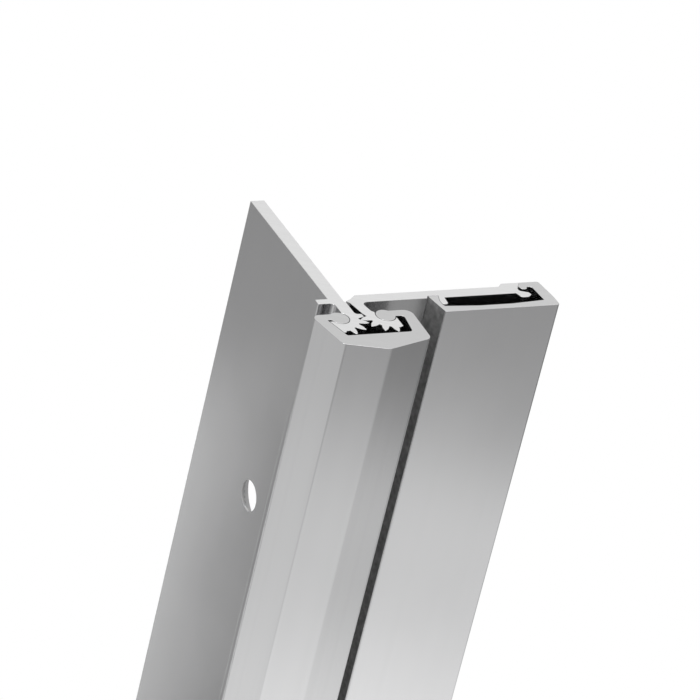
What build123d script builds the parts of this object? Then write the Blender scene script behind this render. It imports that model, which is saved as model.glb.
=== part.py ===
"""Continuous geared hinge, half surface pattern, for a door of ordinary height.

A frame leaf is screwed to the jamb and a door leaf to the face of the door. Each ends in a gear segment and a
hook. A C-shaped cap holds the two segments in mesh: the round beads on its lips are the journals that the
leaves turn on. Thrust bearings in notches through both gears carry the weight of the door. A cover snaps over
the fasteners of the door leaf.

Millimetres. The origin is the middle of the frame leaf's row of screws, on the face that meets the jamb.
+X points from the jamb across the door's opening, +Y from the hinge's front towards the wall, +Z up. The
hinge is closed: the leaves stand at a right angle.
"""
import os
from math import acos, cos, degrees, pi, radians, sin, tan

from build123d import *

# Length of the hinge, and the places of the two pivots
length = 2108.2
pivot_spacing = 12.2
pivot_behind_jamb = 0.7
screws_to_pivot = 22.0

# Gear segments. The frame leaf's gear has a gap, and the door leaf's a tooth, at the mesh angle.
full_circle_teeth = 13
full_teeth = 3
pressure_angle = 25.0
addendum = 1.0
dedendum = 1.15
root_gap = 0.4
short_addendum = 0.4
backlash = 0.12
mesh_angle = 8.85

# Journals and hooks
journal_radius = 2.4
journal_clearance = 0.14
frame_hook_top = 1.2
frame_hook_clearance = 0.1
frame_hook_foot = 0.6
hook_foot_height = 1.25
door_hook_top = 1.15
door_hook_width = 2.4
door_hook_height = 4.9
door_groove_end = 155.0

# Gear cap
cap_wall = 2.8
cap_lip = 2.4
lip_underside = 0.55
floor_clearance = 0.25
frame_wall_reach = 3.4
frame_wall_lean = 17.0
door_wall_reach = 4.6
door_wall_lean = 8.0
cap_left_lean = 11.7
cap_right_lean = 2.0
cap_corner_depth = 3.4
cap_apex_depth = 6.8
cap_left_radius = 1.6
cap_right_radius = 2.2
cap_edge_radius = 1.8
cap_apex_radius = 2.5
cavity_left_radius = 0.4
cavity_right_radius = 0.9

# Frame leaf. Its web, between the fin and the gear, is set back on one side and stepped out on the other.
frame_thickness = 3.7
frame_width = 44.45
fin_height = 6.3
fin_thickness = 2.0
fin_reach = 3.3
fin_radius = 0.3
web_relief = 0.8
web_fillet = 1.1
web_step = 0.4
web_step_top = 6.4
shoulder_radius = 0.9
shoulder_height = 1.2

# Door leaf. Its nose reaches over the gap beside the frame leaf's web.
door_front = 6.0
door_thickness = 3.15
door_width = 41.3
neck_foot = 5.5
neck_foot_height = 1.2
neck_lean = 12.4
neck_thickness = 2.95
neck_fillet = 1.2
neck_shoulder = 0.6
neck_shoulder_height = 2.2
neck_top = 6.0
neck_chamfer = 3.3
nose_clearance = 0.2
nose_height = 6.9
nose_top = 7.7
nose_slope = 1.6
pad_width = 5.0
pad_height = 1.25

# Rib and lip of the door leaf, which hold the cover
seat_depth = 1.0
seat_bevel = 0.6
rib_width = 1.45
rib_hook = 0.7
rib_hook_height = 1.2
rib_height = 2.95
rib_radius = 0.45
lip_root = 3.1
lip_height = 1.95
lip_reach = 0.75
lip_thickness = 1.95
hollow_depth = 1.7
hollow_height = 2.0
hollow_radius = 0.55

# Snap cover
cover_left = 14.7
cover_left_lean = 11.0
cover_head = 2.75
cover_left_wall = 1.35
cover_front_wall = 1.7
cover_front_height = 6.1
cover_bow = 0.8
cover_overhang = 5.2
cover_right_lean = 4.0
cover_right_wall = 2.95
cover_return = 2.05
cover_corner_radius = 0.7
cover_belly = 0.3
cover_belly_height = 3.5
nub_radius = 0.82
snap_gap = 0.06

# Thrust bearings, and the notches for them
bearing_count = 16
bearing_end_distance = 77.6
bearing_length = 25.2
bearing_end_play = 0.1
bearing_side_play = 0.15
bearing_top = 0.5
notch_top = 1.0

# Screw holes
hole_count = 12
hole_end_distance = 65.1
frame_hole_radius = 3.9
countersink_radius = 7.7
countersink_angle = 100.0
door_hole_radius = 3.4
door_hole_to_pivot = 28.5

# Sizes worked out from those above
pitch_radius = pivot_spacing / 2
tooth_angle = 360 / full_circle_teeth
base_radius = pitch_radius * cos(radians(pressure_angle))
tip_radius = pitch_radius + addendum
root_radius = pitch_radius - dedendum
foot_radius = root_radius * cos(radians(tooth_angle / 2)) - backlash / 4
foot_angle = tooth_angle / 2 - degrees(root_gap / 2 / root_radius)
groove_radius = journal_radius + journal_clearance
floor = -tip_radius - floor_clearance
lip_top = cap_lip - lip_underside
frame_face = pivot_behind_jamb + frame_thickness
fin_top = fin_height + fin_thickness
door_back = door_front + door_thickness
pad_back = door_back + pad_height
seat_top = door_front + seat_depth

# The two pivots at the lower end. From each, x runs towards the door leaf's side and y towards the wall.
frame_pivot = Plane(origin=(-pivot_behind_jamb, -screws_to_pivot, -length / 2))
door_pivot = frame_pivot.shift_origin(
    (pivot_spacing - pivot_behind_jamb, -screws_to_pivot, -length / 2)
)

hole_pitch = (length - 2 * hole_end_distance) / (hole_count - 1)
hole_heights = [(i - (hole_count - 1) / 2) * hole_pitch for i in range(hole_count)]
bearing_pitch = (length - 2 * bearing_end_distance) / (bearing_count - 1)
bearing_heights = [((bearing_count - 1) / 2 - i) * bearing_pitch for i in range(bearing_count)]


def polar(radius, angle):
    """The point at this radius and angle from a pivot."""
    return radius * cos(radians(angle)), radius * sin(radians(angle))


def involute(radius):
    """The angle in degrees by which an involute has left its start at this radius."""
    roll = acos(min(1.0, base_radius / radius))
    return degrees(tan(roll) - roll)


def half_tooth(radius):
    """Half the angle in degrees that a tooth takes up at this radius."""
    thickness = pi * pitch_radius / full_circle_teeth - backlash / 2
    at_pitch = degrees(thickness / 2 / pitch_radius)
    return at_pitch + involute(pitch_radius) - involute(max(radius, base_radius))


def tooth(tip):
    """One tooth centred on the x axis of its pivot. Each flank is two flats that meet on the involute, one
    from the root to the pitch circle and one from there to the tip."""
    corners = (
        (foot_radius, foot_angle),
        (pitch_radius, half_tooth(pitch_radius)),
        (tip, half_tooth(tip)),
    )
    low = [polar(radius, -angle) for radius, angle in corners]
    high = [polar(radius, angle) for radius, angle in corners]
    with BuildSketch() as face:
        with BuildLine():
            Polyline(*low, *reversed(high), close=True)
        make_face()
    return face.sketch


def segment(*angles):
    """The body of a gear, out to the root of its teeth, with flats between these angles."""
    with BuildSketch() as face:
        with BuildLine():
            Polyline((0, 0), *[polar(root_radius, angle) for angle in angles], close=True)
        make_face()
    return face.sketch


def rounded(*corners):
    """A face whose outline runs through corners given as x, y and the radius of the corner."""
    with BuildSketch() as face:
        with BuildLine():
            FilletPolyline(
                *[(x, y) for x, y, _ in corners],
                radius=[radius for _, _, radius in corners],
                close=True,
            )
        make_face()
    return face.sketch


def frame_wall(height):
    """How far from the frame pivot the cap's inner wall stands at this height."""
    lean = radians(frame_wall_lean)
    return -(frame_wall_reach + height * sin(lean)) / cos(lean)


def door_wall(height):
    """How far from the frame pivot the cap's other inner wall stands at this height."""
    return pivot_spacing + door_wall_reach + (height + lip_underside) * tan(radians(door_wall_lean))


full_tooth = tooth(tip_radius)
short_tooth = tooth(pitch_radius + short_addendum)

# Frame leaf: a short tooth above the mesh angle and full ones below it
short_angle = tooth_angle / 2 - mesh_angle
frame_teeth = [short_angle - tooth_angle * (i + 1) for i in range(full_teeth)]
frame_foot = polar(base_radius, frame_teeth[-1] - foot_angle)
hook_foot = floor + hook_foot_height
web_left = pivot_behind_jamb + web_relief
web_right = frame_face + web_step
shoulder = web_right + shoulder_radius

frame_plate = rounded(
    (web_left, 0, 0),
    (web_left, fin_height, web_fillet),
    (pivot_behind_jamb - fin_reach, fin_height, fin_radius),
    (pivot_behind_jamb - fin_reach, fin_top, fin_radius),
    (pivot_behind_jamb, fin_top, 0),
    (pivot_behind_jamb, fin_top + frame_width, 0),
    (frame_face, fin_top + frame_width, 0),
    (frame_face, web_step_top + web_step, 0),
    (web_right, web_step_top, 0),
    (web_right, shoulder_height, shoulder_radius * 0.99),
    (shoulder, shoulder_height, 0),
    (shoulder, 0, 0),
)
frame_hook = rounded(
    (0, -frame_hook_top, 0),
    (frame_wall(-frame_hook_top) + frame_hook_clearance, -frame_hook_top, 0),
    (frame_wall(hook_foot) + frame_hook_clearance, hook_foot, 0),
    (frame_wall(hook_foot) + frame_hook_clearance + frame_hook_foot, hook_foot, 0),
    (frame_wall(frame_foot[1]) + 2 * frame_hook_foot, frame_foot[1], 0),
    (*frame_foot, 0),
    (*polar(root_radius, frame_teeth[-1]), 0),
)

with BuildPart() as frame_leaf:
    with BuildSketch(frame_pivot):
        add(frame_plate)
        add(frame_hook)
        add(segment(short_angle, *frame_teeth, frame_teeth[-1] - tooth_angle / 2))
        for angle in frame_teeth:
            with Locations(Location((0, 0, 0), (0, 0, angle))):
                add(full_tooth)
        with Locations(Location((0, 0, 0), (0, 0, short_angle))):
            add(short_tooth)
        Circle(groove_radius, mode=Mode.SUBTRACT)
    extrude(amount=length)
    with Locations(*[(0, notch_top - screws_to_pivot, height) for height in bearing_heights]):
        Box(
            4 * pivot_spacing,
            2 * pivot_spacing,
            bearing_length + 2 * bearing_end_play,
            align=(Align.CENTER, Align.MAX, Align.CENTER),
            mode=Mode.SUBTRACT,
        )
    faces_of_holes = [Plane((frame_thickness, 0, height), z_dir=(1, 0, 0)) for height in hole_heights]
    with Locations(*faces_of_holes):
        CounterSinkHole(
            frame_hole_radius, countersink_radius, counter_sink_angle=countersink_angle
        )
frame_leaf.part.label = "frame_leaf"

# Door leaf: full teeth from the mesh angle round to the hook
door_teeth = [180 + mesh_angle + tooth_angle * i for i in range(full_teeth + 1)]
door_foot = polar(base_radius, door_teeth[-1] + foot_angle)
groove_end = polar(groove_radius, door_groove_end)
neck_slope = tan(radians(neck_lean))


def neck_left(height):
    """Where the neck's face on the frame side stands at this height."""
    return -neck_foot - (height - neck_foot_height) * neck_slope


def neck_right(height):
    """Where the neck's other face stands at this height."""
    return neck_left(height) + neck_thickness


nose = web_right + nose_clearance - pivot_spacing
head_right = cover_left + cover_head + snap_gap
rib_left = head_right - rib_hook
door_plate = rounded(
    (0, 0, 0),
    (*polar(root_radius, door_teeth[0] - tooth_angle / 3), 0),
    (-neck_foot, neck_foot_height, 0),
    (neck_left(neck_top), neck_top, 0),
    (nose, nose_height, 0),
    (nose + nose_slope, nose_top, 0),
    (nose + neck_chamfer, door_back, 0.5),
    (door_width - pad_width - pad_height, door_back, 0),
    (door_width - pad_width, pad_back, 0.3),
    (door_width, pad_back, 0),
    (door_width - hollow_depth, door_front + hollow_height, hollow_radius),
    (door_width - hollow_depth, door_front + hollow_height - 2 * hollow_radius, hollow_radius),
    (door_width + lip_reach / 2, door_front, 0.4),
    (door_width + lip_reach, door_front - lip_height / 2, 0.4),
    (door_width - lip_thickness / 4, door_front - lip_height, 1.0),
    (door_width - lip_root + lip_thickness / 3, door_front - lip_height, 1.0),
    (door_width - lip_root, door_front, 0.3),
    (rib_left + rib_width + rib_radius, door_front, 0),
    (rib_left + rib_width + rib_radius / 2, door_front - rib_height + rib_radius, 0),
    (rib_left + rib_width - rib_radius / 2, door_front - rib_height, 0),
    (rib_left + rib_radius, door_front - rib_height, 0),
    (rib_left, door_front - rib_height + rib_radius, 0),
    (rib_left, door_front - rib_hook_height, 0),
    (head_right, seat_top, 0),
    (cover_left - snap_gap, seat_top, 0),
    (cover_left - snap_gap - seat_bevel, door_front, 0),
    (neck_right(door_front), door_front, neck_fillet),
    (neck_right(neck_shoulder_height), neck_shoulder_height, 0),
    (neck_right(neck_shoulder_height) + neck_shoulder, neck_shoulder_height - neck_shoulder, 0),
    (*groove_end, 0),
)
door_hook = rounded(
    (0, -door_hook_top, 0),
    (door_hook_width, -door_hook_top, 0),
    (door_hook_width, -door_hook_height, 0),
    (*door_foot, 0),
    (*polar(root_radius, door_teeth[-1]), 0),
)

with BuildPart() as door_leaf:
    with BuildSketch(door_pivot):
        add(door_plate)
        add(door_hook)
        add(segment(door_groove_end, *door_teeth, door_teeth[-1] + tooth_angle / 2))
        for angle in door_teeth:
            with Locations(Location((0, 0, 0), (0, 0, angle))):
                add(full_tooth)
        Circle(groove_radius, mode=Mode.SUBTRACT)
    extrude(amount=length)
    with Locations(*[(pivot_spacing, notch_top - screws_to_pivot, height) for height in bearing_heights]):
        Box(
            2 * pivot_spacing,
            2 * pivot_spacing,
            bearing_length + 2 * bearing_end_play,
            align=(Align.CENTER, Align.MAX, Align.CENTER),
            mode=Mode.SUBTRACT,
        )
    hole_x = door_pivot.origin.X + door_hole_to_pivot
    hole_y = door_pivot.origin.Y + door_back
    with Locations(*[Plane((hole_x, hole_y, height), z_dir=(0, 1, 0)) for height in hole_heights]):
        Hole(door_hole_radius, depth=2 * door_thickness)
door_leaf.part.label = "door_leaf"

# Gear cap
cap_left = frame_wall(-lip_underside) - cap_wall
cap_right = door_wall(-lip_underside) + cap_wall
cap_corner = floor - cap_corner_depth
left_slope = tan(radians(cap_left_lean))
right_slope = tan(radians(cap_right_lean))

cap_outside = rounded(
    (cap_left - (lip_top + lip_underside) * left_slope, lip_top, cap_left_radius),
    (cap_left - (cap_corner + lip_underside) * left_slope, cap_corner, cap_edge_radius),
    ((cap_left + cap_right) / 2, floor - cap_apex_depth, cap_apex_radius),
    (cap_right + (cap_corner + lip_underside) * right_slope, cap_corner, cap_edge_radius),
    (cap_right + (lip_top + lip_underside) * right_slope, lip_top, cap_right_radius),
)
cap_cavity = rounded(
    (frame_wall(-lip_underside), -lip_underside, 0),
    (frame_wall(floor), floor, cavity_left_radius),
    (door_wall(floor), floor, cavity_right_radius),
    (door_wall(-lip_underside), -lip_underside, cavity_right_radius),
)

with BuildPart() as gear_cap:
    with BuildSketch(frame_pivot):
        add(cap_outside)
        add(cap_cavity, mode=Mode.SUBTRACT)
        with Locations((pivot_spacing / 2, 0)):
            Rectangle(pivot_spacing, 2 * cap_lip, mode=Mode.SUBTRACT)
        with Locations((0, 0), (pivot_spacing, 0)):
            Circle(journal_radius)
    extrude(amount=length)
gear_cap.part.label = "gear_cap"

# Cover of the door leaf's fasteners
cover_top = seat_top - snap_gap
cover_bottom = door_front - cover_front_height
cover_left_slope = tan(radians(cover_left_lean))
cover_right_slope = tan(radians(cover_right_lean))
end_slope = hollow_depth / (pad_back - door_front - hollow_height)
return_bottom = pad_back - cover_return
nub_width = 2.1 * nub_radius
nub_height = 1.1 * nub_radius
inner_ends = cover_bottom + cover_front_wall + cover_bow
head_waist = rib_left - snap_gap


def cover_right(height):
    """Where the cover's outer wall stands at this height."""
    return door_width + cover_overhang + (pad_back - height) * cover_right_slope


def return_end(height):
    """Where the cover's return meets the sloping end of the leaf at this height."""
    return door_width + 1.3 * snap_gap - (pad_back - height) * end_slope


inner_right = (cover_right(inner_ends) - cover_right_wall, inner_ends)
inner_left = (head_waist + cover_corner_radius / 2, inner_ends)
inner_middle = ((inner_right[0] + inner_left[0]) / 2, inner_ends - cover_bow)
cover_corners = [
    (cover_right(return_bottom) - cover_right_wall, return_bottom, cover_corner_radius),
    (return_end(return_bottom + nub_height) + nub_width, return_bottom, 0),
    (return_end(return_bottom + nub_height) + nub_width, return_bottom - nub_height, nub_radius),
    (return_end(return_bottom + nub_height), return_bottom - nub_height, nub_radius),
    (return_end(return_bottom + nub_height / 2), return_bottom + nub_height / 2, 0),
    (return_end(pad_back), pad_back, 0),
    (cover_right(pad_back), pad_back, cover_corner_radius),
    (cover_right(cover_belly_height) + cover_belly, cover_belly_height, 0),
    (cover_right(cover_bottom), cover_bottom, cover_corner_radius),
    (cover_left + (cover_top - cover_bottom) * cover_left_slope, cover_bottom, cover_corner_radius),
    (cover_left, cover_top, rib_radius / 2),
    (cover_left + cover_head, cover_top, 0),
    (head_waist, door_front - rib_hook_height - snap_gap, 0),
    (head_waist, inner_ends + cover_corner_radius, 0),
]

with BuildPart() as leaf_cover:
    with BuildSketch(door_pivot):
        with BuildLine():
            FilletPolyline(
                inner_right,
                *[(x, y) for x, y, _ in cover_corners],
                inner_left,
                radius=[radius for _, _, radius in cover_corners],
            )
            ThreePointArc(inner_left, inner_middle, inner_right)
        make_face()
    extrude(amount=length)
leaf_cover.part.label = "leaf_cover"

# Thrust bearings: they fill the cap's cavity below the two beads and stand up between them
bearing_shelf = -journal_radius - bearing_side_play
bearing_floor = floor + bearing_side_play
bearing_neck = journal_radius + bearing_side_play
bearing_chamfer = 0.55 * cavity_right_radius
bearing_body = rounded(
    (frame_wall(bearing_shelf) + bearing_side_play, bearing_shelf, 0),
    (frame_wall(bearing_floor) + bearing_side_play, bearing_floor, 0),
    (door_wall(bearing_floor) - bearing_side_play - bearing_chamfer, bearing_floor, 0),
    (door_wall(bearing_floor) - bearing_side_play, bearing_floor + bearing_chamfer, 0),
    (door_wall(bearing_shelf) - bearing_side_play, bearing_shelf, 0),
    (pivot_spacing - bearing_neck, bearing_shelf, 0),
    (pivot_spacing - bearing_neck, bearing_top, 0),
    (bearing_neck, bearing_top, 0),
    (bearing_neck, bearing_shelf, 0),
)

os.makedirs("parts", exist_ok=True)
for number, height in enumerate(bearing_heights, 1):
    bottom_end = height + length / 2 - bearing_length / 2
    with BuildPart() as thrust_bearing:
        with BuildSketch(frame_pivot.offset(bottom_end)):
            add(bearing_body)
        extrude(amount=bearing_length)
    thrust_bearing.part.label = f"thrust_bearing_{number:02d}"
    export_step(thrust_bearing.part, f"parts/thrust_bearing_{number:02d}.step")

export_step(frame_leaf.part, "parts/frame_leaf.step")
export_step(door_leaf.part, "parts/door_leaf.step")
export_step(gear_cap.part, "parts/gear_cap.step")
export_step(leaf_cover.part, "parts/leaf_cover.step")
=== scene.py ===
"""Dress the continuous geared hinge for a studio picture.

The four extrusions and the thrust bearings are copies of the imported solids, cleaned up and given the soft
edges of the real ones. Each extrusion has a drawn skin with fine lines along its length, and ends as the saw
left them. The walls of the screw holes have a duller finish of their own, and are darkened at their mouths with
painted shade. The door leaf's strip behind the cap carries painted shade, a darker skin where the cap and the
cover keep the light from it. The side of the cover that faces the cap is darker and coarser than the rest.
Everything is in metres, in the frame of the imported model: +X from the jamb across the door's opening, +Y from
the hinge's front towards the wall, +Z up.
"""

import logging
import math
from collections.abc import Callable
from dataclasses import dataclass
from enum import Enum

import bpy
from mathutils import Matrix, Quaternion, Vector


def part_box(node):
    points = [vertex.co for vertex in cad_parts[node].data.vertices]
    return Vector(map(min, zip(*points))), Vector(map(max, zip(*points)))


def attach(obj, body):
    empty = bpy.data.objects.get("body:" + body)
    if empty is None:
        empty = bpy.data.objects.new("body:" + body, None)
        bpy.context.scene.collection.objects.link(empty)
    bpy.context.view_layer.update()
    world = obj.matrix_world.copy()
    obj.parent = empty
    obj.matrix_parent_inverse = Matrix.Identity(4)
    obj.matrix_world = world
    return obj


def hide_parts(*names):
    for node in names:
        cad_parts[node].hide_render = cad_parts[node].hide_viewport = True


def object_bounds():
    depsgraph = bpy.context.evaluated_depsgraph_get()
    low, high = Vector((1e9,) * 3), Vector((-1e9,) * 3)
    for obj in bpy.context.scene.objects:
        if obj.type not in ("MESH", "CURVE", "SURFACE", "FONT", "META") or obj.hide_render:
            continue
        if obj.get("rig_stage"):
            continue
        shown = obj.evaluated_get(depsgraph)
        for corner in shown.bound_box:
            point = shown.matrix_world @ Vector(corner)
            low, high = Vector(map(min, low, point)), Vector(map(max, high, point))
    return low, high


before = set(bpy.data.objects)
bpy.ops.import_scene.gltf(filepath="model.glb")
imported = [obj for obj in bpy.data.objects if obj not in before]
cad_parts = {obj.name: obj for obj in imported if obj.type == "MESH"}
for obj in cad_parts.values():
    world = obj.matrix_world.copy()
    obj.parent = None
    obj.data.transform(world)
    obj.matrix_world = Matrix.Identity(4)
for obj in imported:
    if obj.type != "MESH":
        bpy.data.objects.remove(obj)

log = logging.getLogger("geared_hinge")

Pair = tuple[float, float]
Colour = tuple[float, float, float]
Place = tuple[float, float, float]
Value = float | tuple[float, ...] | bpy.types.NodeSocket
Test = Callable[[bpy.types.MeshPolygon], bool]
GroupStart = tuple["Graph", bpy.types.NodeInputs, bpy.types.NodeInputs, bpy.types.NodeSocket]

# The range in which most values of a noise lie
MIDDLE = (0.25, 0.75)
WHITE = (1.0, 1.0, 1.0, 1.0)
# Height in metres that a bump of full strength stands for
BUMP_HEIGHT = 0.0001


class Facing(Enum):
    """The first two finishes of an extrusion, by the way a face looks."""

    SKIN = 0
    SAWN_END = 1


@dataclass(frozen=True)
class DrawnFinish:
    """Anodised aluminium as it leaves the die, with fine lines along its length.

    Attributes:
        name: name of the material.
        colour: linear colour of the metal.
        metallic: how much of the surface reflects as bare metal.
        roughness: mean roughness of the surface.
        rough_change: how much the roughness changes slowly.
        brushed: how much rougher it is across the lines than along them.
        line_pitch: distance in metres between the broader die lines.
        line_depth: how strongly the fine lines tilt the surface.
        streak: how much the broader lines change the colour.
        cloud: how much the colour changes slowly.
        cloud_size: size in metres of that slow change.
    """

    name: str
    colour: Colour
    metallic: float = 1.0
    roughness: float = 0.14
    rough_change: float = 0.008
    brushed: float = 0.6
    line_pitch: float = 0.0011
    line_depth: float = 0.02
    streak: float = 0.012
    cloud: float = 0.02
    cloud_size: float = 0.03


@dataclass(frozen=True)
class SawnFinish:
    """Cut metal: the end of an extrusion as a fine saw leaves it, or the wall of a hole.

    Attributes:
        name: name of the material.
        colour: linear colour of the cut metal.
        metallic: how much of the cut reflects as bare metal.
        roughness: mean roughness of the cut.
        mark_pitch: distance in metres between the marks of the tool.
        mark_angle: direction of the marks in degrees from +X.
        mark_depth: how strongly the marks tilt the surface.
        shade_change: how much the marks change the colour.
        rough_change: how much the marks change the roughness.
    """

    name: str
    colour: Colour
    metallic: float = 0.55
    roughness: float = 0.45
    mark_pitch: float = 0.00045
    mark_angle: float = 24.0
    mark_depth: float = 0.1
    shade_change: float = 0.03
    rough_change: float = 0.06


@dataclass(frozen=True)
class MouldedFinish:
    """Moulded acetal with a faint grain.

    Attributes:
        name: name of the material.
        colour: linear colour of the plastic.
        roughness: mean roughness.
        rough_change: how much the roughness changes.
        shades: darkest and lightest share of the colour.
        cloud_size: size in metres of the slow change of the surface.
        grain_depth: how strongly the grain tilts the surface.
    """

    name: str
    colour: Colour
    roughness: float = 0.42
    rough_change: float = 0.06
    shades: Pair = (0.8, 1.25)
    cloud_size: float = 0.01
    grain_depth: float = 0.1


LEAF_SKIN = DrawnFinish("leaf_skin", (0.72, 0.72, 0.725))
CAP_SKIN = DrawnFinish("cap_skin", (0.73, 0.73, 0.735), line_pitch=0.0014)
COVER_SKIN = DrawnFinish("cover_skin", (0.765, 0.765, 0.77), line_pitch=0.0009)
LEAF_END = SawnFinish("leaf_end", (0.78, 0.78, 0.78))
CAP_END = SawnFinish("cap_end", (0.60, 0.60, 0.60), mark_angle=31.0)
COVER_END = SawnFinish("cover_end", (0.64, 0.64, 0.64), mark_angle=17.0)
# Painted shade: the short wall at the mouth of a screw hole faces the lamp and is darkened so that it shows no
# lit rim. Its duller, rougher cut is the drilled metal's own.
PAINTED_SHADE_MOUTH = SawnFinish("painted_shade_mouth", (0.46, 0.46, 0.46), metallic=0.3, roughness=0.6, mark_pitch=0.0003)
DRILLED_HOLE = SawnFinish("drilled_hole", (0.68, 0.68, 0.68), metallic=0.3, roughness=0.6,
                          mark_pitch=0.0003)
# Painted shade: the door leaf's strip behind the cap, darkened where the cap and the cover keep the light from
# it.
PAINTED_SHADE_SKIN = DrawnFinish("painted_shade_skin", (0.52, 0.52, 0.522), roughness=0.25, brushed=0.4)
GAP_SKIN = DrawnFinish("gap_skin", (0.52, 0.52, 0.52), metallic=0.9, roughness=0.5, brushed=0.2,
                       line_depth=0.05, streak=0.05, cloud=0.3, cloud_size=0.0015)
BEARING_ACETAL = MouldedFinish("bearing_acetal", (0.03, 0.03, 0.032))


def around(middle: float, change: float) -> Pair:
    """The range that reaches as far below a value as above it."""
    return middle - change, middle + change


def deselect_all() -> None:
    """Leave nothing selected."""
    if bpy.context.object and bpy.context.object.mode != "OBJECT":
        bpy.ops.object.mode_set(mode="OBJECT")
    bpy.ops.object.select_all(action="DESELECT")


def select_only(piece: bpy.types.Object) -> None:
    """Select one object and make it active."""
    deselect_all()
    piece.select_set(True)
    bpy.context.view_layer.objects.active = piece


class Graph:
    """Adds nodes to one shader tree and joins them. Wherever a value is asked for, a socket may stand too."""

    def __init__(self, tree: bpy.types.NodeTree) -> None:
        """Work on a tree.

        Args:
            tree: the tree that gets the nodes.
        """
        self.tree = tree

    def add(self, kind: str, **settings: str) -> bpy.types.Node:
        """Add a node.

        Args:
            kind: type of the node.
            settings: its properties.

        Returns:
            The node.
        """
        node = self.tree.nodes.new(kind)
        for name, value in settings.items():
            setattr(node, name, value)
        return node

    def feed(self, socket: bpy.types.NodeSocket, value: Value) -> None:
        """Join a socket to an input, or give the input a plain value.

        Args:
            socket: the input.
            value: what it gets.
        """
        if isinstance(value, bpy.types.NodeSocket):
            self.tree.links.new(value, socket)
        else:
            socket.default_value = value

    def math(self, operation: str, *values: Value) -> bpy.types.NodeSocket:
        """Work out one number from others.

        Args:
            operation: name of the operation.
            values: what it works on.

        Returns:
            The result.
        """
        node = self.add("ShaderNodeMath", operation=operation)
        for socket, value in zip(node.inputs, values):
            self.feed(socket, value)
        return node.outputs["Value"]

    def vector(self, operation: str, *values: Value) -> bpy.types.Node:
        """Work out a vector, or a number, from vectors.

        Args:
            operation: name of the operation.
            values: what it works on.

        Returns:
            The node, with the result at one of its outputs.
        """
        node = self.add("ShaderNodeVectorMath", operation=operation)
        for socket, value in zip(node.inputs, values):
            self.feed(socket, value)
        return node

    def ranged(self, value: Value, given: Pair, wanted: Pair, smooth: bool = False) -> bpy.types.NodeSocket:
        """Map a number from one range to another, and hold it at the ends.

        Args:
            value: the number.
            given: its range.
            wanted: the range it is mapped to.
            smooth: whether it eases in and out.

        Returns:
            The mapped number.
        """
        node = self.add("ShaderNodeMapRange", interpolation_type="SMOOTHSTEP" if smooth else "LINEAR")
        self.feed(node.inputs["Value"], value)
        for label, bound in zip(("From Min", "From Max", "To Min", "To Max"), (*given, *wanted)):
            self.feed(node.inputs[label], bound)
        return node.outputs["Result"]

    def eased(self, value: Value, given: Pair) -> bpy.types.NodeSocket:
        """Go smoothly from 0 to 1 over a range of a number.

        Args:
            value: the number.
            given: the range.

        Returns:
            The share, 0 below the range and 1 above it.
        """
        return self.ranged(value, given, (0.0, 1.0), smooth=True)

    def curve(self, value: Value, points: tuple[Pair, ...]) -> bpy.types.NodeSocket:
        """Map a number along straight lines between points.

        Args:
            value: the number.
            points: each point's number and result, in rising order.

        Returns:
            The mapped number.
        """
        low, high = points[0][0], points[-1][0]
        ramp = self.add("ShaderNodeValToRGB")
        stops = ramp.color_ramp.elements
        for place, (number, result) in enumerate(points):
            share = (number - low) / (high - low)
            stop = stops[place] if place < 2 else stops.new(share)
            stop.position = share
            stop.color = (result, result, result, 1.0)
        self.feed(ramp.inputs["Fac"], self.ranged(value, (low, high), (0.0, 1.0)))
        return ramp.outputs["Color"]

    def mixed(self, share: Value, first: Value, second: Value) -> bpy.types.NodeSocket:
        """Go from one number to another.

        Args:
            share: 0 for the first, 1 for the second.
            first: the first number.
            second: the second number.

        Returns:
            The number between them.
        """
        node = self.add("ShaderNodeMix", data_type="FLOAT")
        for label, value in (("Factor", share), ("A", first), ("B", second)):
            self.feed(node.inputs[label], value)
        return node.outputs["Result"]

    def shaders(self, share: Value, first: Value, second: Value) -> bpy.types.NodeSocket:
        """Go from one shader to another.

        Args:
            share: 0 for the first, 1 for the second.
            first: the first shader.
            second: the second shader.

        Returns:
            The mixed shader.
        """
        node = self.add("ShaderNodeMixShader")
        for socket, value in zip(node.inputs, (share, first, second)):
            self.feed(socket, value)
        return node.outputs["Shader"]

    def noise(self, place: Value, scale: Value, detail: float) -> bpy.types.NodeSocket:
        """Smooth noise, 0 to 1.

        Args:
            place: where it is looked up.
            scale: how fine it is.
            detail: how many finer layers it has.

        Returns:
            The noise.
        """
        node = self.add("ShaderNodeTexNoise")
        for label, value in (("Vector", place), ("Scale", scale), ("Detail", detail)):
            self.feed(node.inputs[label], value)
        return node.outputs["Fac"]

    def bump(self, height: Value, strength: float) -> bpy.types.NodeSocket:
        """Tilt the surface by a height.

        Args:
            height: the height, as a share of BUMP_HEIGHT.
            strength: how much of it shows.

        Returns:
            The tilted normal.
        """
        node = self.add("ShaderNodeBump")
        for label, value in (("Strength", strength), ("Distance", BUMP_HEIGHT), ("Height", height)):
            self.feed(node.inputs[label], value)
        return node.outputs["Normal"]


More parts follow.
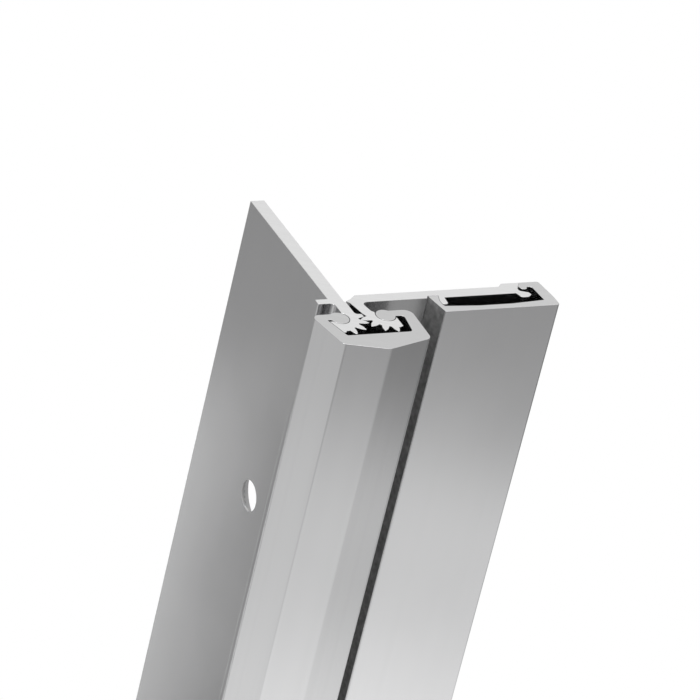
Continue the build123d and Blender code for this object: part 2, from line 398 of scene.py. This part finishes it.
class NodeGroups:
    """The shader effects that more than one finish uses, each built once."""

    def __init__(self) -> None:
        """Start with no group built."""
        self.made: dict[str, bpy.types.ShaderNodeTree] = {}

    def _start(self, name: str, inputs: dict[str, float], outputs: tuple[str, ...]) -> GroupStart:
        """Make an empty group with float inputs and outputs.

        Args:
            name: name of the group.
            inputs: each input socket's name and default.
            outputs: names of the output sockets.

        Returns:
            The tree's graph, its input sockets, its output sockets and the place on the object.
        """
        tree = bpy.data.node_groups.new(name, "ShaderNodeTree")
        for label, value in inputs.items():
            socket = tree.interface.new_socket(label, in_out="INPUT", socket_type="NodeSocketFloat")
            socket.default_value = value
        for label in outputs:
            tree.interface.new_socket(label, in_out="OUTPUT", socket_type="NodeSocketFloat")
        self.made[name] = tree
        graph = Graph(tree)
        given = graph.add("NodeGroupInput").outputs
        result = graph.add("NodeGroupOutput").inputs
        return graph, given, result, graph.add("ShaderNodeTexCoord").outputs["Object"]

    def die_lines(self) -> bpy.types.ShaderNodeTree:
        """Fine lines that run the whole length of an extrusion.

        Returns:
            A group that takes the pitch of the lines in metres and gives a streak and fine lines, 0 to 1.
        """
        if "die_lines" in self.made:
            return self.made["die_lines"]
        graph, given, result, place = self._start("die_lines", {"Pitch": 0.001}, ("Streak", "Lines"))
        per_metre_along = 1.5
        for label, finer, detail in (("Streak", 1.0, 3.0), ("Lines", 4.0, 2.0)):
            across = graph.math("DIVIDE", finer, given["Pitch"])
            stretch = graph.add("ShaderNodeCombineXYZ")
            for socket, value in zip(stretch.inputs, (across, across, per_metre_along * finer)):
                graph.feed(socket, value)
            drawn = graph.vector("MULTIPLY", place, stretch.outputs["Vector"]).outputs["Vector"]
            graph.feed(result[label], graph.noise(drawn, 1.0, detail))
        return graph.tree

    def handling(self) -> bpy.types.ShaderNodeTree:
        """Slow, cloudy change of the surface, and small specks.

        Returns:
            A group that takes a size in metres and gives a cloud and specks, 0 to 1.
        """
        if "handling" in self.made:
            return self.made["handling"]
        graph, given, result, place = self._start("handling", {"Size": 0.03}, ("Cloud", "Specks"))
        specks_across_cloud = 40.0
        speck_edge = (0.04, 0.16)
        scale = graph.math("DIVIDE", 1.0, given["Size"])
        graph.feed(result["Cloud"], graph.noise(place, scale, 4.0))
        dots = graph.add("ShaderNodeTexVoronoi", feature="F1")
        graph.feed(dots.inputs["Vector"], place)
        graph.feed(dots.inputs["Scale"], graph.math("MULTIPLY", scale, specks_across_cloud))
        graph.feed(result["Specks"], graph.ranged(dots.outputs["Distance"], speck_edge, (1.0, 0.0)))
        return graph.tree

    def saw_marks(self) -> bpy.types.ShaderNodeTree:
        """The straight, close marks that a cut leaves.

        Returns:
            A group that takes the pitch in metres and the direction in radians, and gives marks, 0 to 1.
        """
        if "saw_marks" in self.made:
            return self.made["saw_marks"]
        inputs = {"Pitch": 0.0005, "Direction": 0.4}
        graph, given, result, place = self._start("saw_marks", inputs, ("Marks",))
        per_metre_along = 40.0
        turn = graph.add("ShaderNodeVectorRotate", rotation_type="Z_AXIS")
        graph.feed(turn.inputs["Vector"], place)
        graph.feed(turn.inputs["Angle"], given["Direction"])
        stretch = graph.add("ShaderNodeCombineXYZ")
        across = graph.math("DIVIDE", 1.0, given["Pitch"])
        for socket, value in zip(stretch.inputs, (per_metre_along, across, per_metre_along)):
            graph.feed(socket, value)
        cut = graph.vector("MULTIPLY", turn.outputs["Vector"], stretch.outputs["Vector"]).outputs["Vector"]
        graph.feed(result["Marks"], graph.noise(cut, 1.0, 3.0))
        return graph.tree


class Finishes:
    """Makes a material of each finish and keeps it."""

    def __init__(self) -> None:
        """Start with no material made."""
        self.groups = NodeGroups()
        self.made: dict[str, bpy.types.Material] = {}

    def _start(self, name: str) -> tuple[bpy.types.Material, Graph, bpy.types.Node]:
        """Make a material with a Principled shader.

        Args:
            name: name of the material.

        Returns:
            The material, its graph and the shader.
        """
        material = bpy.data.materials.new(name)
        material.use_nodes = True
        self.made[name] = material
        return material, Graph(material.node_tree), material.node_tree.nodes["Principled BSDF"]

    def _group(self, graph: Graph, tree: bpy.types.ShaderNodeTree, **values: float) -> bpy.types.Node:
        """Place a node group with its own values.

        Args:
            graph: graph of the material.
            tree: the group.
            values: values of its inputs.

        Returns:
            The placed group.
        """
        node = graph.add("ShaderNodeGroup")
        node.node_tree = tree
        for label, value in values.items():
            node.inputs[label].default_value = value
        return node

    def _tint(self, graph: Graph, colour: Colour, *factors: Value) -> bpy.types.NodeSocket:
        """Multiply a colour by changing factors.

        Args:
            graph: graph of the material.
            colour: linear colour.
            factors: what it is multiplied by.

        Returns:
            The colour socket.
        """
        node = graph.add("ShaderNodeVectorMath", operation="SCALE")
        node.inputs[0].default_value = colour
        share = factors[0]
        for factor in factors[1:]:
            share = graph.math("MULTIPLY", share, factor)
        graph.feed(node.inputs["Scale"], share)
        return node.outputs["Vector"]

    def drawn(self, finish: DrawnFinish) -> bpy.types.Material:
        """Make the skin of an extrusion.

        Args:
            finish: its values.

        Returns:
            The material.
        """
        if finish.name in self.made:
            return self.made[finish.name]
        material, graph, shader = self._start(finish.name)
        lines = self._group(graph, self.groups.die_lines(), Pitch=finish.line_pitch).outputs
        worn = self._group(graph, self.groups.handling(), Size=finish.cloud_size).outputs
        streak = graph.ranged(lines["Streak"], MIDDLE, around(1.0, finish.streak))
        cloud = graph.ranged(worn["Cloud"], MIDDLE, around(1.0, finish.cloud))
        rough = graph.ranged(worn["Cloud"], MIDDLE, around(finish.roughness, finish.rough_change))
        graph.feed(shader.inputs["Base Color"], self._tint(graph, finish.colour, streak, cloud))
        graph.feed(shader.inputs["Roughness"], rough)
        graph.feed(shader.inputs["Metallic"], finish.metallic)
        graph.feed(shader.inputs["Anisotropic"], finish.brushed)
        graph.feed(shader.inputs["Normal"], graph.bump(lines["Lines"], finish.line_depth))
        return material

    def sawn(self, finish: SawnFinish) -> bpy.types.Material:
        """Make a cut end or the wall of a hole.

        Args:
            finish: its values.

        Returns:
            The material.
        """
        if finish.name in self.made:
            return self.made[finish.name]
        material, graph, shader = self._start(finish.name)
        saw = self._group(graph, self.groups.saw_marks(), Pitch=finish.mark_pitch,
                          Direction=math.radians(finish.mark_angle)).outputs
        shade = graph.ranged(saw["Marks"], MIDDLE, around(1.0, finish.shade_change))
        rough = graph.ranged(saw["Marks"], MIDDLE, around(finish.roughness, finish.rough_change))
        graph.feed(shader.inputs["Base Color"], self._tint(graph, finish.colour, shade))
        graph.feed(shader.inputs["Roughness"], rough)
        graph.feed(shader.inputs["Metallic"], finish.metallic)
        graph.feed(shader.inputs["Normal"], graph.bump(saw["Marks"], finish.mark_depth))
        return material

    def moulded(self, finish: MouldedFinish) -> bpy.types.Material:
        """Make the plastic of the bearings.

        Args:
            finish: its values.

        Returns:
            The material.
        """
        if finish.name in self.made:
            return self.made[finish.name]
        material, graph, shader = self._start(finish.name)
        worn = self._group(graph, self.groups.handling(), Size=finish.cloud_size).outputs
        shade = graph.ranged(worn["Cloud"], MIDDLE, finish.shades)
        rough = graph.ranged(worn["Cloud"], MIDDLE, around(finish.roughness, finish.rough_change))
        graph.feed(shader.inputs["Base Color"], self._tint(graph, finish.colour, shade))
        graph.feed(shader.inputs["Roughness"], rough)
        graph.feed(shader.inputs["Normal"], graph.bump(worn["Specks"], finish.grain_depth))
        return material


@dataclass(frozen=True)
class SolidCopy:
    """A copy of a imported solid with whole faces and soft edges.

    Attributes:
        node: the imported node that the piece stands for.
        name: name of the piece.
        body: the body that the piece rides on.
        edge: width in metres of the soft edges.
        edge_angle: the sharpest bend in degrees that stays unbroken.
        edge_steps: faces across a soft edge.
        merge_distance: how close in metres two corners are that become one.
        flat_angle: the most that two triangles of one flat face differ by, in degrees.
        flat_weight: how much more a large face counts in the shading than a small one, up to 100.
        end_facing: how far the normal of a sawn end points along Z, at the least.
    """

    node: str
    name: str
    body: str
    edge: float = 0.00008
    edge_angle: float = 30.0
    edge_steps: int = 2
    merge_distance: float = 0.000002
    flat_angle: float = 0.6
    flat_weight: int = 100
    end_facing: float = 0.95

    def build(self) -> bpy.types.Object:
        """Copy the node, merge its triangles into whole faces and soften its edges.

        Returns:
            The finished mesh object.
        """
        select_only(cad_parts[self.node])
        bpy.ops.object.duplicate()
        piece = bpy.context.view_layer.objects.active
        piece.name = self.name
        piece.data.name = self.name
        for key in [key for key in piece.keys() if key.startswith("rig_")]:
            del piece[key]
        piece.parent = None
        piece.data.materials.clear()
        bpy.ops.object.mode_set(mode="EDIT")
        bpy.ops.mesh.select_mode(type="VERT")
        bpy.ops.mesh.select_all(action="SELECT")
        bpy.ops.mesh.customdata_custom_splitnormals_clear()
        bpy.ops.mesh.remove_doubles(threshold=self.merge_distance)
        bpy.ops.mesh.dissolve_limited(angle_limit=math.radians(self.flat_angle))
        bpy.ops.object.mode_set(mode="OBJECT")
        bpy.ops.object.shade_smooth()
        soft = piece.modifiers.new("soft_edges", "BEVEL")
        soft.width = self.edge
        soft.segments = self.edge_steps
        soft.limit_method = "ANGLE"
        soft.angle_limit = math.radians(self.edge_angle)
        soft.use_clamp_overlap = False
        soft.harden_normals = False
        bpy.ops.object.modifier_apply(modifier=soft.name)
        flat = piece.modifiers.new("flat_faces", "WEIGHTED_NORMAL")
        flat.weight = self.flat_weight
        bpy.ops.object.modifier_apply(modifier=flat.name)
        return piece

    def dress(self, piece: bpy.types.Object, skin: bpy.types.Material,
              end: bpy.types.Material | None) -> None:
        """Give the faces their finishes.

        Args:
            piece: the finished mesh object.
            skin: finish of the faces along the length.
            end: finish of the faces across it, or None where the skin goes all round.
        """
        piece.data.materials.append(skin)
        if end is None:
            return
        piece.data.materials.append(end)
        for polygon in piece.data.polygons:
            across = abs(polygon.normal.z) > self.end_facing
            polygon.material_index = Facing.SAWN_END.value if across else Facing.SKIN.value

    def patch(self, piece: bpy.types.Object, material: bpy.types.Material, chosen: Test) -> None:
        """Give some of the faces along the length a material of their own: a finish, or painted shade.

        Args:
            piece: the finished mesh object, dressed.
            material: the finish or the painted shade.
            chosen: tells whether a face takes it.
        """
        patch = len(piece.data.materials)
        piece.data.materials.append(material)
        for polygon in piece.data.polygons:
            if polygon.material_index == Facing.SKIN.value and chosen(polygon):
                polygon.material_index = patch

    def place(self, piece: bpy.types.Object, slot: str) -> None:
        """Tie the piece to its body and hide its imported node.

        Args:
            piece: the finished mesh object.
            slot: not used.
        """
        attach(piece, self.body)
        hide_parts(self.node)
        log.info("%s: %d faces, rides on %s", piece.name, len(piece.data.polygons), self.body)


@dataclass
class Leaves:
    """The two leaves with their gear segments.

    Attributes:
        frame_side: the leaf on the jamb.
        door_side: the leaf on the door.
        plate_facing: how far the normal of a plate's own face points straight out of it, at the least.
        frame_hole_reach: how far in metres a hole of the frame leaf reaches to each side along Y.
        frame_bore_depth: how far in metres the mouth of such a hole, which is darkened with painted shade,
            reaches into the plate.
        door_holes: place in metres of the door leaf's row of holes along X.
        door_hole_reach: how far in metres such a hole reaches to each side.
        behind_cap: X and Y in metres of the middle of the door leaf's strip behind the cap, which is darkened
            with painted shade.
        behind_cap_reach: how far in metres the middle of that face may be from there.
    """

    frame_side: SolidCopy = SolidCopy("frame_leaf", "frame_leaf_extrusion", "frame_leaf")
    door_side: SolidCopy = SolidCopy("door_leaf", "door_leaf_extrusion", "door_leaf")
    plate_facing: float = 0.98
    frame_hole_reach: float = 0.0085
    frame_bore_depth: float = 0.001
    door_holes: float = 0.04
    door_hole_reach: float = 0.0038
    behind_cap: Pair = (0.0174, -0.016)
    behind_cap_reach: float = 0.001

    def in_frame_hole(self, polygon: bpy.types.MeshPolygon) -> bool:
        """Whether a face of the frame leaf is the wall of a screw hole."""
        return abs(polygon.normal.x) < self.plate_facing and abs(polygon.center.y) < self.frame_hole_reach

    def in_frame_bore(self, polygon: bpy.types.MeshPolygon) -> bool:
        """Whether a face of the frame leaf is the short straight wall at the mouth of a screw hole, darkened
        with painted shade.
        """
        return self.in_frame_hole(polygon) and polygon.center.x < self.frame_bore_depth

    def in_door_hole(self, polygon: bpy.types.MeshPolygon) -> bool:
        """Whether a face of the door leaf is the wall of a screw hole."""
        aside = abs(polygon.center.x - self.door_holes)
        return abs(polygon.normal.y) < self.plate_facing and aside < self.door_hole_reach

    def in_painted_shade_strip(self, polygon: bpy.types.MeshPolygon) -> bool:
        """Whether a face of the door leaf is the strip behind the cap, darkened with painted shade."""
        return math.dist(polygon.center[:2], self.behind_cap) < self.behind_cap_reach

    def make(self, finishes: Finishes) -> None:
        """Build and dress both leaves.

        Args:
            finishes: maker of the materials.
        """
        # The walls at the mouths of the frame leaf's screw holes get painted shade.
        mouth, drilled = finishes.sawn(PAINTED_SHADE_MOUTH), finishes.sawn(DRILLED_HOLE)
        # The door leaf's strip behind the cap gets painted shade.
        painted_shade = finishes.drawn(PAINTED_SHADE_SKIN)
        frame_patches = ((mouth, self.in_frame_bore), (drilled, self.in_frame_hole))
        door_patches = ((drilled, self.in_door_hole), (painted_shade, self.in_painted_shade_strip))
        for leaf, patches in ((self.frame_side, frame_patches), (self.door_side, door_patches)):
            piece = leaf.build()
            leaf.dress(piece, finishes.drawn(LEAF_SKIN), finishes.sawn(LEAF_END))
            for material, chosen in patches:
                leaf.patch(piece, material, chosen)
            leaf.place(piece, leaf.node)


@dataclass
class Cap:
    """The cap that holds the gears in mesh.

    Attributes:
        shell: the cap itself.
    """

    shell: SolidCopy = SolidCopy("gear_cap", "gear_cap_extrusion", "gear_cap")

    def make(self, finishes: Finishes) -> None:
        """Build and dress the cap.

        Args:
            finishes: maker of the materials.
        """
        piece = self.shell.build()
        self.shell.dress(piece, finishes.drawn(CAP_SKIN), finishes.sawn(CAP_END))
        self.shell.place(piece, "gear_cap")


@dataclass
class Cover:
    """The cover over the door leaf's fasteners.

    Attributes:
        shell: the cover itself.
        gap_facing: how far the normal of the side that faces the cap points that way, at the least.
        gap_reach: how far in metres that side leans in from the cover's edge.
    """

    shell: SolidCopy = SolidCopy("leaf_cover", "leaf_cover_extrusion", "door_leaf")
    gap_facing: float = 0.9
    gap_reach: float = 0.002

    def make(self, finishes: Finishes) -> None:
        """Build and dress the cover. The side that faces the cap is darker and coarser than the rest.

        Args:
            finishes: maker of the materials.
        """
        piece = self.shell.build()
        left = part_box("leaf_cover")[0][0] + self.gap_reach
        self.shell.dress(piece, finishes.drawn(COVER_SKIN), finishes.sawn(COVER_END))
        self.shell.patch(piece, finishes.drawn(GAP_SKIN),
                         lambda polygon: polygon.normal.x < -self.gap_facing and polygon.center.x < left)
        self.shell.place(piece, "leaf_cover")


@dataclass
class Bearings:
    """The thrust bearings in the notches of the gears.

    Attributes:
        edge: width in metres of their soft edges.
    """

    edge: float = 0.0003

    def make(self, finishes: Finishes) -> None:
        """Build and dress every bearing.

        Args:
            finishes: maker of the materials.
        """
        for node in sorted(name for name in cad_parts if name.startswith("thrust_bearing")):
            block = SolidCopy(node, node.replace("bearing", "block"), "gear_cap", edge=self.edge)
            piece = block.build()
            block.dress(piece, finishes.moulded(BEARING_ACETAL), None)
            block.place(piece, "thrust_bearing")


@dataclass(frozen=True)
class Lamp:
    """A soft lamp.

    Attributes:
        name: name of the lamp.
        place: its place in metres.
        size: width and height in metres.
        power: power in watts.
        aim: the place that it points at, the top of the hinge.
    """

    name: str
    place: Place
    size: Pair
    power: float
    aim: Place = (0.0, 0.0, 1.0)

    def hang(self) -> None:
        """Make the lamp and aim it."""
        bpy.ops.object.light_add(type="AREA", location=self.place)
        lamp = bpy.context.object
        lamp.name = self.name
        lamp.data.shape = "RECTANGLE"
        lamp.data.size, lamp.data.size_y = self.size
        lamp.data.energy = self.power
        lamp.rotation_mode = "QUATERNION"
        lamp.rotation_quaternion = (Vector(self.aim) - Vector(self.place)).to_track_quat("-Z", "Y")


@dataclass(frozen=True)
class Studio:
    """The floor, the lights and the camera.

    The skins are metal, so their tones are what they mirror. All of them mirror the floor some three metres
    away: the jamb plate and the cap's left side behind and to the left, and the rest in front. What they
    mirror there is set apart from the floor that is seen. Lights are strengths and distances are in metres.

    Attributes:
        camera_place: place of the camera in metres.
        azimuth: direction of the view in degrees, from +Y towards +X.
        elevation: how far in degrees the camera looks down.
        roll: turn of the camera in degrees about its line of sight.
        lens: focal length in millimetres.
        sensor: width of the camera's sensor in millimetres.
        clip: nearest and furthest that the camera sees.
        horizon_light: the light from the level of the hinge.
        sky_light: the light from above.
        horizon: heights on a sphere of radius 1 between which the one becomes the other.
        lamps: the lamps.
        floor_size: width of the floor.
        floor_colour: linear colour of the floor.
        floor_roughness: its roughness.
        floor_fade: the distances between which the floor that is seen fades into white.
        front_light: the mirrored floor in front, by its distance from the hinge.
        right_light: how much of front_light there is, by the distance to the right.
        corner_light: how much of front_light there is, by the turn from the front (-1) to the back (1). It is
            less where the cap's left corner mirrors the floor.
        left_light: the mirrored floor behind, to the left of the plate's part, by its distance.
        back: direction on the floor that counts as the back.
        back_fade: the turns between which the front becomes the back.
        across: direction on the floor that goes across what the jamb plate mirrors.
        plate_light: the plate's part of the floor, by the way across.
        plate_edge: the ways across between which the part to the left becomes the plate's.
        plate_far_light: the plate's part further out.
        plate_far_edge: the ways across between which that falls from 1 to its light.
        plate_far_fade: the distances between which the plate's part becomes the one further out.
        foot_light: the mirrored floor round the foot of the hinge.
        foot_fade: the distances between which that ends.
    """

    camera_place: Place = (-0.50626, -0.82588, 1.59501)
    azimuth: float = 32.417
    elevation: float = 30.014
    roll: float = 13.863
    lens: float = 241.71
    sensor: float = 36.0
    clip: Pair = (0.05, 50.0)
    horizon_light: float = 0.3
    sky_light: float = 0.75
    horizon: Pair = (-0.1, 0.35)
    lamps: tuple[Lamp, ...] = (Lamp("key_left", (-2.2, -1.2, 2.2), (1.2, 2.0), 24.0),
                               Lamp("overhead", (0.2, -0.2, 3.2), (1.6, 1.6), 12.0))
    floor_size: float = 9.0
    floor_colour: Colour = (0.86, 0.86, 0.86)
    floor_roughness: float = 0.8
    floor_fade: Pair = (1.1, 2.4)
    front_light: tuple[Pair, ...] = ((2.7, 1.1), (2.95, 1.03), (3.1, 0.84), (3.16, 0.72), (3.22, 0.62),
                                     (3.3, 0.86), (3.42, 0.85), (3.5, 0.52), (3.56, 0.4), (3.62, 0.37),
                                     (4.0, 0.37))
    right_light: tuple[Pair, ...] = ((0.3, 1.0), (1.75, 1.0), (2.2, 0.98), (2.7, 0.86), (3.05, 0.83),
                                     (3.2, 0.72), (3.35, 0.58))
    corner_light: tuple[Pair, ...] = ((-0.68, 1.0), (-0.58, 0.85), (-0.3, 0.85), (-0.1, 1.0))
    left_light: tuple[Pair, ...] = ((2.9, 0.88), (3.09, 0.76), (3.2, 0.7), (3.33, 0.76), (3.45, 0.63),
                                    (3.6, 0.56))
    back: Place = (-0.669, 0.743, 0.0)
    back_fade: Pair = (-0.3, -0.1)
    across: Place = (0.859, 0.511, 0.0)
    plate_light: tuple[Pair, ...] = ((-1.1, 0.75), (-0.8, 0.5), (-0.4, 0.2), (-0.2, 0.03), (-0.01, 0.04),
                                     (0.1, 1.38), (0.35, 1.38), (0.7, 0.5))
    plate_edge: Pair = (-1.1, -0.75)
    plate_far_light: float = 0.34
    plate_far_edge: Pair = (-1.1, -0.6)
    plate_far_fade: Pair = (3.35, 3.6)
    foot_light: float = 0.7
    foot_fade: Pair = (1.8, 2.5)

    def camera(self) -> None:
        """Make the camera and look through it."""
        place = Vector(self.camera_place)
        bpy.ops.object.camera_add(location=place)
        camera = bpy.context.object
        camera.name = "photo_camera"
        camera.data.lens = self.lens
        camera.data.sensor_width = self.sensor
        camera.data.clip_start, camera.data.clip_end = self.clip
        turn, tilt = math.radians(self.azimuth), math.radians(self.elevation)
        aim = Vector((math.sin(turn) * math.cos(tilt), math.cos(turn) * math.cos(tilt), -math.sin(tilt)))
        level = aim.to_track_quat("-Z", "Y")
        camera.rotation_mode = "QUATERNION"
        camera.rotation_quaternion = level @ Quaternion((0, 0, 1), math.radians(self.roll))
        bpy.context.scene.camera = camera

    def world(self) -> None:
        """Light the hinge evenly, with white behind it."""
        world = bpy.data.worlds.new("studio_world")
        world.use_nodes = True
        bpy.context.scene.world = world
        world.node_tree.nodes.clear()
        graph = Graph(world.node_tree)
        split = graph.add("ShaderNodeSeparateXYZ")
        graph.feed(split.inputs["Vector"], graph.add("ShaderNodeTexCoord").outputs["Generated"])
        light = graph.add("ShaderNodeBackground")
        graph.feed(light.inputs["Color"], WHITE)
        strengths = (self.horizon_light, self.sky_light)
        strength = graph.ranged(split.outputs["Z"], self.horizon, strengths, smooth=True)
        graph.feed(light.inputs["Strength"], strength)
        seen = graph.add("ShaderNodeBackground")
        graph.feed(seen.inputs["Color"], WHITE)
        graph.feed(seen.inputs["Strength"], 1.0)
        camera_ray = graph.add("ShaderNodeLightPath").outputs["Is Camera Ray"]
        both = graph.shaders(camera_ray, light.outputs["Background"], seen.outputs["Background"])
        graph.feed(graph.add("ShaderNodeOutputWorld").inputs["Surface"], both)

    def mirrored(self, graph: Graph, flat: bpy.types.NodeSocket) -> bpy.types.NodeSocket:
        """How bright the floor is where metal mirrors it.

        Args:
            graph: graph of the floor's material.
            flat: place on the floor.

        Returns:
            The strength.
        """
        away = graph.vector("LENGTH", flat).outputs["Value"]
        split = graph.add("ShaderNodeSeparateXYZ")
        graph.feed(split.inputs["Vector"], flat)
        right = graph.curve(split.outputs["X"], self.right_light)
        front = graph.math("MULTIPLY", graph.curve(away, self.front_light), right)
        left = graph.curve(away, self.left_light)
        across = graph.vector("DOT_PRODUCT", flat, self.across).outputs["Value"]
        near = graph.curve(across, self.plate_light)
        far = graph.ranged(across, self.plate_far_edge, (1.0, self.plate_far_light), smooth=True)
        plate = graph.mixed(graph.eased(away, self.plate_far_fade), near, far)
        behind = graph.mixed(graph.eased(across, self.plate_edge), left, plate)
        heading = graph.vector("NORMALIZE", flat).outputs["Vector"]
        turn = graph.vector("DOT_PRODUCT", heading, self.back).outputs["Value"]
        front = graph.math("MULTIPLY", front, graph.curve(turn, self.corner_light))
        outer = graph.mixed(graph.eased(turn, self.back_fade), front, behind)
        return graph.mixed(graph.eased(away, self.foot_fade), self.foot_light, outer)

    def floor(self) -> None:
        """Lay a pale floor that fades into the white behind."""
        low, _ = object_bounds()
        bpy.ops.mesh.primitive_plane_add(size=self.floor_size, location=(0, 0, low[2]))
        floor = bpy.context.object
        floor.name = "studio_floor"
        bpy.ops.object.transform_apply(location=True, rotation=False, scale=False)
        material = bpy.data.materials.new("studio_floor")
        material.use_nodes = True
        graph = Graph(material.node_tree)
        shader = material.node_tree.nodes["Principled BSDF"]
        graph.feed(shader.inputs["Base Color"], (*self.floor_colour, 1.0))
        graph.feed(shader.inputs["Roughness"], self.floor_roughness)
        place = graph.add("ShaderNodeTexCoord").outputs["Object"]
        flat = graph.vector("MULTIPLY", place, (1.0, 1.0, 0.0)).outputs["Vector"]
        away = graph.vector("LENGTH", flat).outputs["Value"]
        seen = graph.add("ShaderNodeLightPath").outputs
        white = graph.add("ShaderNodeEmission")
        graph.feed(white.inputs["Strength"], 1.0)
        fade = graph.math("MULTIPLY", graph.eased(away, self.floor_fade), seen["Is Camera Ray"])
        shown = graph.shaders(fade, shader.outputs["BSDF"], white.outputs["Emission"])
        glow = graph.add("ShaderNodeEmission")
        graph.feed(glow.inputs["Strength"], self.mirrored(graph, flat))
        both = graph.shaders(seen["Is Glossy Ray"], shown, glow.outputs["Emission"])
        graph.feed(material.node_tree.nodes["Material Output"].inputs["Surface"], both)
        floor.data.materials.append(material)
        floor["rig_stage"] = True

    def make(self) -> None:
        """Set up the whole studio."""
        bpy.context.scene.view_settings.view_transform = "Standard"
        self.camera()
        self.world()
        self.floor()
        for lamp in self.lamps:
            lamp.hang()


def sizes(label: str) -> list[list[float]]:
    """The whole object's box as plain lists.

    Args:
        label: what the box is of, for the log.

    Returns:
        Its lowest and highest corner.
    """
    box = [[round(float(value), 6) for value in corner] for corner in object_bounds()]
    log.info("%s box: %s", label, box)
    return box


def main() -> None:
    """Build the studio and every piece, and log the two boxes."""
    logging.basicConfig(level=logging.INFO, format="%(name)s: %(message)s")
    cad_box = sizes("packed")
    deselect_all()
    Studio().make()
    finishes = Finishes()
    for part in (Leaves(), Cap(), Cover(), Bearings()):
        part.make(finishes)
    deselect_all()
    {"cad": cad_box, "visual": sizes("visual")}


if __name__ == "__main__":
    main()
